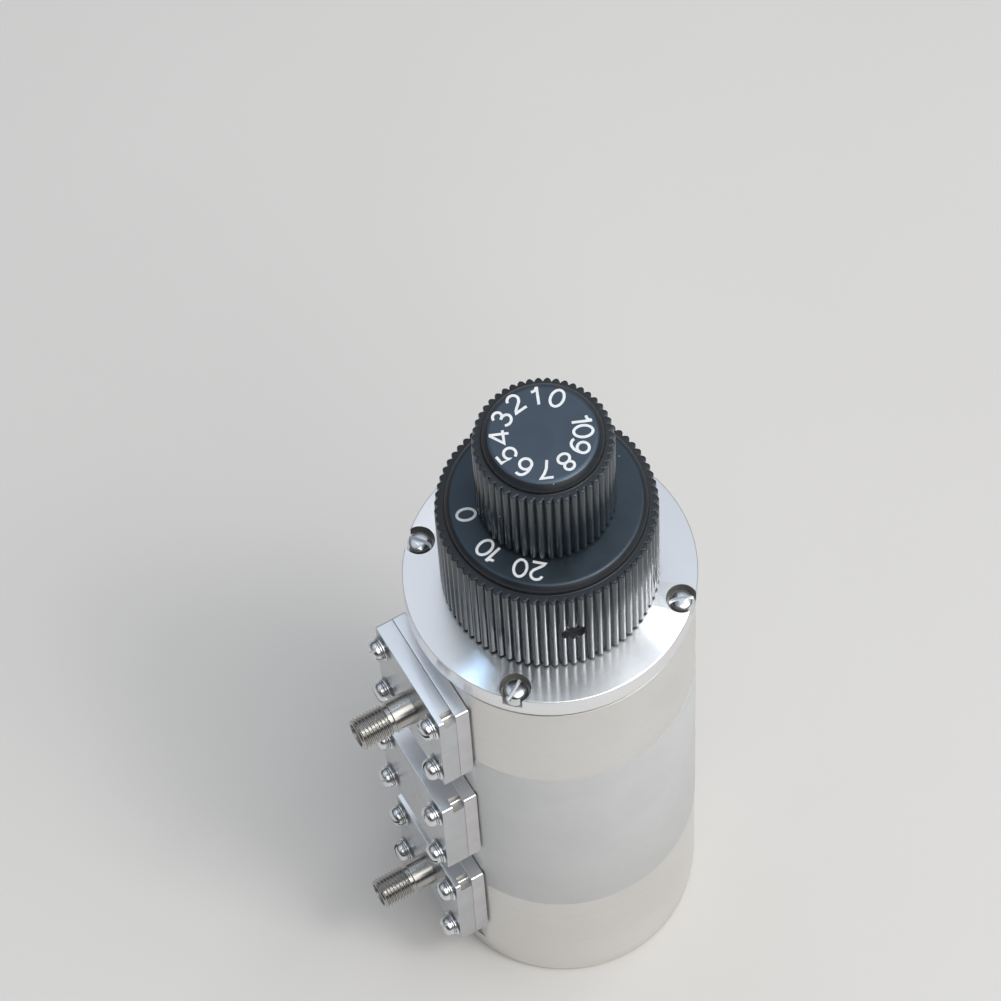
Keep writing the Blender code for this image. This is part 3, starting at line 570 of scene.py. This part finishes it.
def in_a_pocket(centres, normals):
    """True within a pocket's radius of its axis, from its floor up."""
    axes = np.array([at_angle(pocket_circle, degrees, 0).translation[:2] for degrees in quarters])
    nearest = np.linalg.norm(centres[:, None, :2] - axes, axis=2).min(1)
    return (nearest < pocket_radius + 0.00002) & (centres[:, 2] > pocket_floor - 0.00002)


plate = piece("turned_plate", cut(skin("turned_plate", disc, closed=True),
                                  *[moved(pocket, at_angle(pocket_circle, degrees, 0)) for degrees in quarters]),
              bright_turned, "attenuator", "plate", "front_plate")
# Painted shade: the pockets' walls and floors take the darker recess grey.
paint(plate, recess_shade_grey, in_a_pocket)

fillister = eased([(0.0, -0.0105), (0.0011, -0.0105), (0.0011, 0.0), (0.0023, 0.0), (0.0023, 0.0019),
                   (0.0019, 0.0026), (0.0009, 0.0029), (0.0, 0.0029)],
                  [0, .00005, .0001, .0001, .0005, .0005, .0004, 0])
fillister_screw = cut(skin("fillister_screw", turned(fillister, 72)), slot_cutter(0.00034, 0.0015))
head_seat = pocket_floor + 0.0002
slot_turns = (218, 300, 70, 150)
for k, (degrees, turn) in enumerate(zip(quarters, slot_turns)):
    piece(f"plate_screw_{k + 1}_body", moved(fillister_screw, at_angle(pocket_circle, degrees, head_seat), spin(turn)),
          bright_zinc, "attenuator", "screw", f"plate_screw_{k + 1}")


# Knobs
# Both knobs are turned from aluminium bar, fluted all round and anodised black. A raised disc
# on top carries the numbers, and a counterbore in the side takes the set screw.
dust, dust_in, dust_out = effect("dust", [("Position", "Vector", None)], [("Mask", "Float")])
cells = add(dust, "ShaderNodeTexVoronoi", {"Vector": dust_in.outputs["Position"], "Scale": 420.0})
chance = add(dust, "ShaderNodeSeparateColor", {"Color": cells.outputs["Color"]})
speck = maths(dust, "MULTIPLY", maths(dust, "LESS_THAN", cells.outputs["Distance"], 0.04),
              maths(dust, "GREATER_THAN", chance.outputs[0], 0.7))
dust.links.new(speck, dust_out.inputs["Mask"])


def anodised(name, colour, light, roughness, swing, grain, index, tint=(1, 1, 1)):
    """Dyed anodising: a fine etched grain in a clear oxide, soft patches of handling and a few
    specks of dust."""
    material, tree, shader = finish(name, colour, 0.0, roughness, IOR=index, Specular_Tint=(*tint, 1))
    place = add(tree, "ShaderNodeTexCoord")
    touched = use(tree, handling, Position=place.outputs["Object"], Size=0.007)
    vary(tree, shader, colour, light, roughness, swing, touched.outputs["Mask"])
    specks = use(tree, dust, Position=place.outputs["Object"])
    dusty = add(tree, "ShaderNodeMix", {"Factor": specks.outputs["Mask"], "B": (0.55, 0.55, 0.54, 1)}, data_type="RGBA")
    tree.links.new(shader.inputs["Base Color"].links[0].from_socket, dusty.inputs["A"])
    tree.links.new(dusty.outputs["Result"], shader.inputs["Base Color"])
    etch = add(tree, "ShaderNodeTexNoise", {"Vector": place.outputs["Object"], "Scale": 4200.0, "Detail": 2.0})
    emboss(tree, shader, etch.outputs[0], grain)
    return material


blue_oxide = (0.62, 0.80, 1.0)
outer_satin = anodised("satin black outer dial", (0.012, 0.016, 0.020), (0.018, 0.024, 0.030), 0.34, 0.08, 0.000003,
                       1.7, blue_oxide)
inner_satin = anodised("satin black inner dial", (0.020, 0.027, 0.040), (0.028, 0.037, 0.052), 0.36, 0.08, 0.000003,
                       1.9, blue_oxide)
# Painted shade: a darker, less glossy copy of the anodising for the raised disc's wall and chamfer and the shoulder at
# its foot.
shade_black = anodised("painted shade black", (0.009, 0.012, 0.016), (0.014, 0.018, 0.024), 0.36, 0.08, 0.000003, 1.5)
sink_grey = anodised("satin black sinks", (0.030, 0.031, 0.038), (0.044, 0.045, 0.052), 0.42, 0.08, 0.000003, 1.6)
gloss_black = anodised("gloss black flutes", (0.018, 0.023, 0.029), (0.026, 0.031, 0.037), 0.18, 0.07, 0.0000006,
                       1.58, (0.80, 0.91, 1.0))


def fluted(profile, radius, flutes, depth, samples=20, power=1.9):
    """A turned surface with rounded ridges that meet in sharp grooves. A point moves in by
    depth (2t)^power w, where t is its share of a ridge away from the ridge's middle, the power
    rounds it, and w fades from the rim to the shoulder."""
    angles = np.linspace(0, 2 * np.pi, flutes * samples, endpoint=False)
    rings = turned(profile, angles)
    t = np.abs((angles * flutes / (2 * np.pi)) % 1 - 0.5)
    groove = (2 * t) ** power
    nominal = np.asarray(profile)[:, :1]
    fade = np.clip((nominal - (radius - 0.0013)) / 0.0009, 0, 1)
    weight = fade * fade * (3 - 2 * fade)
    rings[..., :2] *= (1 - depth * groove * weight / np.maximum(nominal, 1e-6))[..., None]
    return rings


outer_low, outer_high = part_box("outer_knob")
inner_low, inner_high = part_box("inner_knob")
disc_height = 0.0022
outer_chamfer, inner_chamfer = 0.0009, 0.0012
outer_radius, outer_disc = 0.0200, 0.0182
inner_radius, inner_disc = 0.0125, 0.0108
flute_depth = 0.00075
knob_bore = 0.0034
outer_profile = eased([(knob_bore, outer_low.z), (outer_radius, outer_low.z),
                       (outer_radius, outer_high.z - disc_height), (outer_disc, outer_high.z - disc_height),
                       (outer_disc, outer_high.z - outer_chamfer), (outer_disc - outer_chamfer, outer_high.z),
                       (knob_bore, outer_high.z)],
                      [0.0001, 0.0004, 0.0005, 0.0002, 0.0005, 0.0004, 0.0001], 7, closed=True)
inner_profile = eased([(0.0, inner_low.z), (inner_radius, inner_low.z), (inner_radius, inner_high.z - disc_height),
                       (inner_disc, inner_high.z - disc_height), (inner_disc, inner_high.z - inner_chamfer),
                       (inner_disc - inner_chamfer, inner_high.z), (0.0, inner_high.z)],
                      [0, 0.0004, 0.0005, 0.0002, 0.0006, 0.0006, 0], 7)


def drilled(degrees, height, *drills):
    """Closed cutters towards the axis at that angle: (radius, distance from the axis) for each."""
    return [moved(skin("drill", turned(drill, 48)), at_angle(0, degrees, height), spin(degrees),
                  Matrix.Rotation(math.pi / 2, 4, "Y")) for drill in drills]


def is_disc(centres, normals):
    """True on the raised disc's flat top."""
    return normals[:, 2] * (centres[:, 2] > centres[:, 2].max() - 0.0003) > 0.85


def is_disc_edge(centres, normals):
    """True on the disc above the shoulder, its wall and chamfer included."""
    return centres[:, 2] > centres[:, 2].max() - disc_height + 0.0001


def is_ridge_end(centres, normals):
    """True where the ridges round over into the shoulder."""
    top = centres[:, 2].max() - disc_height
    return (normals[:, 2] > 0.3) & (normals[:, 2] < 0.9) & (centres[:, 2] > top - 0.0006) & (centres[:, 2] < top)


def is_shoulder(centres, normals):
    """True on the flat ring between the ridges and the disc."""
    top = centres[:, 2].max() - disc_height
    return (normals[:, 2] >= 0.9) & (centres[:, 2] > top - 0.001) & (centres[:, 2] < top + 0.0001)


def in_the_sink(centres, normals):
    """True close to a set screw's line, on the faces that its counterbore has cut."""
    across = centres[:, 0] * -math.sin(azimuth) + centres[:, 1] * math.cos(azimuth)
    out = centres[:, 0] * math.cos(azimuth) + centres[:, 1] * math.sin(azimuth)
    return (np.hypot(across, centres[:, 2] - screw_z) < sink_radius + 0.00001) & (out > 0)


screw_bore = 0.0012
outer_screw_angle, inner_screw_angle = 343, 100
for name, satin, rings, ring_closed, body, degrees, sink_radius, sink_floor, rim in (
        ("outer_knob", outer_satin, fluted(outer_profile, outer_radius, 72, flute_depth), True, "outer_dial",
         outer_screw_angle, 0.0023, 0.0188, 0.022),
        ("inner_knob", inner_satin, fluted(inner_profile, inner_radius, 48, flute_depth), False, "inner_dial",
         inner_screw_angle, 0.0019, 0.0113, 0.014)):
    low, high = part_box(name)
    screw_z = (low.z + high.z - disc_height) / 2
    azimuth = math.radians(degrees)
    holes = drilled(degrees, screw_z, [(screw_bore, 0.5 * rim), (screw_bore, rim)],
                    [(sink_radius, sink_floor), (sink_radius, rim)])
    knob = piece(f"{name}_body", cut(skin(name, rings, closed=ring_closed), *holes, sharp=55), gloss_black,
                 body, "knob", name)
    # Painted shade: the disc's wall and chamfer and the shoulder below them take the darker black.
    paint(knob, shade_black, is_disc_edge)
    paint(knob, satin, is_disc)
    paint(knob, satin, is_ridge_end)
    paint(knob, shade_black, is_shoulder)
    paint(knob, sink_grey, in_the_sink)


# Set screws
# A blackened socket set screw clamps each knob on its shaft. Its end stands just under the floor
# of the knob's counterbore, and a hexagon is broached in it.
blackened = turned_metal("blackened steel", (0.16, 0.15, 0.145), (0.26, 0.245, 0.235), 0.30, 0.12, 0.0001,
                         0.000001, 0.002)
for name, body, degrees, outer_end, (low, high) in (
        ("outer_set_screw", "outer_dial", outer_screw_angle, 0.0187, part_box("outer_set_screw")),
        ("inner_set_screw", "inner_dial", inner_screw_angle, 0.0112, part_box("inner_set_screw"))):
    inner_end = math.hypot(*(low if abs(low.x) + abs(low.y) < abs(high.x) + abs(high.y) else high).xy)
    grub = turned(eased([(0.0, inner_end), (0.0008, inner_end), (0.0011, inner_end + 0.0003), (0.0011, outer_end),
                         (0.0, outer_end)], [0, 0.0001, 0.0001, 0.00025, 0]), 48)
    socket = skin("socket", turned([(0.00062, outer_end - 0.0010), (0.00062, outer_end + 0.001)], 6))
    towards = [spin(degrees), Matrix.Rotation(math.pi / 2, 4, "Y")]
    piece(f"{name}_body", moved(cut(skin("grub", grub), socket), at_angle(0, degrees, (low.z + high.z) / 2), *towards),
          blackened, body, "screw", name)


# Numbers
# Screened on each dial in thin strokes of white paint, with their tops away from the axis.
def arc(x, y, rx, ry, first, last, count=22):
    """Points on an ellipse's arc, (x + rx cos a, y + ry sin a), with a in degrees."""
    a = np.radians(np.linspace(first, last, count))
    return np.column_stack([x + rx * np.cos(a), y + ry * np.sin(a)])


def chain(*runs):
    """Runs of points end to end."""
    return np.concatenate([np.asarray(run, float).reshape(-1, 2) for run in runs])


# Centrelines in a figure 1 high: its width, and its strokes as (closed, points).
figures = {
    "0": (0.68, [(True, arc(0.34, 0.5, 0.34, 0.5, 0, 360, 49)[:-1])]),
    "1": (0.22, [(False, [(-0.10, 0.745), (0.01, 0.765), (0.10, 0.81), (0.165, 0.88), (0.20, 1.0)]),
                 (False, [(0.22, 1.03), (0.22, -0.03)])]),
    "2": (0.66, [(False, chain(arc(0.325, 0.71, 0.305, 0.29, 172, -22), (0.53, 0.47), (0.20, 0.22), (0.07, 0.10),
                               (0.02, 0.0), (0.68, 0.0)))]),
    "3": (0.66, [(False, chain(arc(0.325, 0.765, 0.265, 0.235, 160, -70), (0.25, 0.535))),
                 (False, chain((0.25, 0.535), arc(0.33, 0.27, 0.32, 0.27, 72, -165)))]),
    "4": (0.78, [(False, [(0.58, -0.03), (0.58, 1.0)]),
                 (False, [(0.56, 0.98), (0.02, 0.27), (0.79, 0.27)])]),
    "5": (0.66, [(False, chain((0.60, 1.0), (0.14, 1.0), (0.075, 0.50),
                               arc(0.325, 0.325, 0.325, 0.325, 138, -160)))]),
    "6": (0.66, [(True, arc(0.335, 0.315, 0.315, 0.315, 0, 360, 41)[:-1]),
                 (False, arc(0.425, 0.44, 0.405, 0.56, 193, 62, 24))]),
    "7": (0.64, [(False, chain((0.0, 1.0), (0.64, 1.0), (0.44, 0.74), (0.30, 0.44), (0.22, -0.03)))]),
    "8": (0.64, [(True, arc(0.32, 0.765, 0.265, 0.235, 0, 360, 41)[:-1]),
                 (True, arc(0.32, 0.27, 0.32, 0.27, 0, 360, 41)[:-1])]),
    "9": (0.66, [(True, arc(0.325, 0.685, 0.315, 0.315, 0, 360, 41)[:-1]),
                 (False, arc(0.235, 0.56, 0.405, 0.56, 13, -118, 24))]),
}


def stroke(points, width, closed, lift):
    """A flat bar along a centreline: four edges, left and right of it by half the width and up and
    down by a paint's thickness. At a corner the edges move out by 1 / cos of half its angle."""
    points = np.asarray(points, float)
    ahead = np.roll(points, -1, axis=0) - points
    ahead /= np.linalg.norm(ahead, axis=1)[:, None]
    behind = np.roll(ahead, 1, axis=0)
    if not closed:
        behind[0], ahead[-1] = ahead[0], behind[-1]
    left_ahead = np.column_stack([-ahead[:, 1], ahead[:, 0]])
    left_behind = np.column_stack([-behind[:, 1], behind[:, 0]])
    left = left_ahead + left_behind
    left /= np.linalg.norm(left, axis=1)[:, None]
    spread = width / 2 / np.clip((left * left_ahead).sum(1), 0.5, 1)[:, None]
    up = lift + np.linspace(0, 0.000004, len(points))[:, None]
    down = np.full((len(points), 1), -0.0002)
    edges = [np.hstack([points + left * spread, up]), np.hstack([points - left * spread, up]),
             np.hstack([points - left * spread, down]), np.hstack([points + left * spread, down])]
    return np.stack(edges, axis=1)


def number(text, height, line, space=0.24):
    """The strokes of a number, centred, in metres: (closed, edges). Each lies a little higher than
    the one before, so that no two faces meet in one plane."""
    scale = height - line
    widths = [figures[digit][0] for digit in text]
    x = -(sum(widths) + space * (len(text) - 1)) / 2
    strokes = []
    for digit, width in zip(text, widths):
        for closed, points in figures[digit][1]:
            lift = 0.00003 + 0.000006 * len(strokes)
            strokes.append((closed, stroke((np.asarray(points) + [x, -0.5]) * scale, line, closed, lift)))
        x += width + space
    return strokes


def dial_numbers(name, labels, first, step, radius, shift, top, height, line):
    """Numbers round a dial: label k at the azimuth first + step k, with its top outwards."""
    opened, looped = [], []
    for k, text in enumerate(labels):
        angle = math.radians(first + step * k)
        out = np.array([math.cos(angle), math.sin(angle), 0])
        right = np.array([math.sin(angle), -math.cos(angle), 0])
        centre = radius * out + [*shift, top]
        for closed, points in number(text, height, line):
            there = centre + points[..., :1] * right + points[..., 1:2] * out + points[..., 2:] * [0, 0, 1]
            (looped if closed else opened).append(there)
    return [skin(name, *opened), skin(name, *looped, closed=True)]


white_paint, paint_tree, paint_shader = finish("white paint", (0.84, 0.86, 0.89), 0.0, 0.5)
paint_place = add(paint_tree, "ShaderNodeTexCoord")
paint_touched = use(paint_tree, handling, Position=paint_place.outputs["Object"], Size=0.0012)
vary(paint_tree, paint_shader, (0.79, 0.82, 0.85), (0.90, 0.92, 0.94), 0.45, 0.15, paint_touched.outputs["Mask"])


def join(name, meshes):
    """Several meshes as one."""
    things = []
    for mesh in meshes:
        thing = bpy.data.objects.new(name, mesh)
        bpy.context.scene.collection.objects.link(thing)
        things.append(thing)
    with bpy.context.temp_override(active_object=things[0], selected_editable_objects=things):
        bpy.ops.object.join()
    return things[0]


figure_height, line_width = 0.00385, 0.00050
off_centre = (-0.00035, -0.0002)        # the inner dial's print lies a little to one side
for name, body, labels, first, step, radius, shift, top in (
        ("outer_numbers", "outer_dial", ("0", "10", "20"), 252.0, 32.7, 0.0145, (0, 0), outer_high.z),
        ("inner_numbers", "inner_dial", [str(k) for k in range(11)], 126.9, 30.0, 0.0073, off_centre,
         inner_high.z)):
    figures_piece = join(name, dial_numbers(name, labels, first, step, radius, shift, top,
                                            figure_height, line_width))
    figures_piece.data.materials.clear()
    figures_piece.data.materials.append(white_paint)
    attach(figures_piece, body)


# Shafts, rotors and detents
# The inner works keep their CAD forms: steel shafts and star wheels, a spool for each dial with
# its attenuator cells, and the springs and contacts beside them.
def worked_metal(name, colour, light, roughness, swing, spacing):
    """Machined metal on a CAD form: tool marks by distance from the dials' axis, and handling."""
    material, tree, shader = finish(name, colour, 1.0, roughness)
    place = add(tree, "ShaderNodeTexCoord")
    axes = add(tree, "ShaderNodeSeparateXYZ", {"Vector": place.outputs["Object"]})
    radius = maths(tree, "SQRT", maths(tree, "MULTIPLY_ADD", axes.outputs["X"], axes.outputs["X"],
                                      maths(tree, "MULTIPLY", axes.outputs["Y"], axes.outputs["Y"])))
    distance = maths(tree, "ADD", radius, axes.outputs["Z"])
    worn(tree, shader, place, distance, spacing, 0.005, colour, light, roughness, swing, 0.000003)
    return material


def refinish(material, *names):
    """Give CAD nodes a material on their own slots."""
    for name in names:
        mesh = nodes[name].data
        mesh.materials.clear()
        mesh.materials.append(material)


ground_steel = worked_metal("ground steel", (0.50, 0.48, 0.45), (0.60, 0.58, 0.55), 0.22, 0.12, 0.00012)
refinish(ground_steel, "outer_shaft", "inner_shaft", "upper_detent_wheel", "lower_detent_wheel",
         "upper_detent_leaf", "lower_detent_leaf")
refinish(worked_metal("zinc post", (0.72, 0.74, 0.78), (0.80, 0.82, 0.85), 0.20, 0.10, 0.00015),
         "upper_detent_post", "lower_detent_post")
refinish(worked_metal("rotor aluminium", (0.33, 0.34, 0.36), (0.42, 0.43, 0.45), 0.34, 0.12, 0.0002),
         "upper_rotor", "lower_rotor")
refinish(worked_metal("bearing bronze", (0.52, 0.35, 0.18), (0.62, 0.44, 0.24), 0.30, 0.12, 0.00015), "shaft_bushing")
refinish(worked_metal("cell brass", (0.76, 0.57, 0.27), (0.84, 0.66, 0.36), 0.24, 0.12, 0.00015),
         "cell_0db", "cell_10db", "cell_20db")
refinish(worked_metal("partition aluminium", (0.70, 0.69, 0.67), (0.78, 0.77, 0.75), 0.30, 0.12, 0.0002),
         "middle_bearing_plate")
refinish(gold, "link_contact")
refinish(white_sleeve, "link_insulator")


# Floor, light and camera
# A pale sheet under soft overhead light, seen from about 62 degrees above the horizon.
floor_mesh = bpy.data.meshes.new("floor")
floor_mesh.from_pydata([(-4, -4, 0), (4, -4, 0), (4, 4, 0), (-4, 4, 0)], [], [(0, 1, 2, 3)])
floor = bpy.data.objects.new("floor", floor_mesh)
bpy.context.scene.collection.objects.link(floor)
pale_sheet, floor_tree, floor_shader = finish("pale sheet", (0.77, 0.75, 0.725), 0.0, 0.7)
floor_place = add(floor_tree, "ShaderNodeTexCoord")
clouds = add(floor_tree, "ShaderNodeTexNoise", {"Vector": floor_place.outputs["Object"], "Scale": 6.0, "Detail": 3.0})
vary(floor_tree, floor_shader, (0.735, 0.715, 0.69), (0.81, 0.79, 0.765), 0.65, 0.1, clouds.outputs[0])
floor_mesh.materials.append(pale_sheet)

world = bpy.data.worlds.new("room")
bpy.context.scene.world = world
world.use_nodes = True
sky = world.node_tree
sky_place = add(sky, "ShaderNodeTexCoord")
sky_up = add(sky, "ShaderNodeSeparateXYZ", {"Vector": sky_place.outputs["Generated"]})
ramp = add(sky, "ShaderNodeValToRGB", {"Fac": sky_up.outputs["Z"]})
stops = ramp.color_ramp.elements
for height, colour in ((0.08, (0.66, 0.655, 0.65)), (0.15, (0.09, 0.09, 0.09)), (0.45, (0.10, 0.10, 0.105)),
                       (0.68, (0.50, 0.53, 0.57)), (0.86, (0.74, 0.79, 0.86))):
    stops.new(height).color = (*colour, 1)
stops.remove(stops[0])
stops.remove(stops[-1])
dim_side = (0.70, -0.37, 0.61)
facing = add(sky, "ShaderNodeVectorMath", {0: sky_place.outputs["Generated"], 1: dim_side}, operation="DOT_PRODUCT")
dimming = add(sky, "ShaderNodeMapRange", {"Value": facing.outputs["Value"], "From Min": 0.5, "From Max": 0.95,
                                          "To Min": 1.0, "To Max": 0.25}, interpolation_type="SMOOTHSTEP")
sky.links.new(ramp.outputs[0], sky.nodes["Background"].inputs["Color"])
sky.links.new(dimming.outputs[0], sky.nodes["Background"].inputs["Strength"])


def soft_light(name, azimuth, elevation, distance, size, share, colour):
    """A square area lamp that looks at the object. Its power is pi^2 d^2 / sin(elevation) times the
    share of full light that it gives the floor."""
    data = bpy.data.lights.new(name, "AREA")
    data.shape = "SQUARE"
    data.size = size
    data.energy = share * math.pi ** 2 * distance ** 2 / math.sin(math.radians(elevation))
    data.color = colour
    lamp = bpy.data.objects.new(name, data)
    bpy.context.scene.collection.objects.link(lamp)
    lamp.matrix_world = (Matrix.Translation((0, 0, 0.1)) @ spin(azimuth + 90)
                         @ Matrix.Rotation(math.radians(90 - elevation), 4, "X")
                         @ Matrix.Translation((0, 0, distance)))


lamp_distance = 1.3
soft_light("key", 15, 56, lamp_distance, 1.25, 0.515, (1.0, 0.985, 0.955))
soft_light("glint", 30, 60, lamp_distance, 0.26, 0.135, (1.0, 0.99, 0.975))
soft_light("window", 103, 66, lamp_distance, 0.15, 0.045, (1.0, 0.99, 0.975))
soft_light("far window", 189, 74, lamp_distance, 0.06, 0.010, (0.45, 0.72, 1.0))

camera_place = (0.344974, -0.181043, 0.884888)
camera_turn, camera_tilt, camera_roll = 63.5, math.pi / 2 - 1.0804, -0.0708
camera_data = bpy.data.cameras.new("camera")
camera_data.lens = 168.24
camera_data.sensor_width = 36
camera = bpy.data.objects.new("camera", camera_data)
bpy.context.scene.collection.objects.link(camera)
camera.matrix_world = (Matrix.Translation(camera_place) @ spin(camera_turn)
                       @ Matrix.Rotation(camera_tilt, 4, "X") @ Matrix.Rotation(camera_roll, 4, "Z"))
bpy.context.scene.camera = camera
bpy.context.scene.view_settings.view_transform = "Standard"
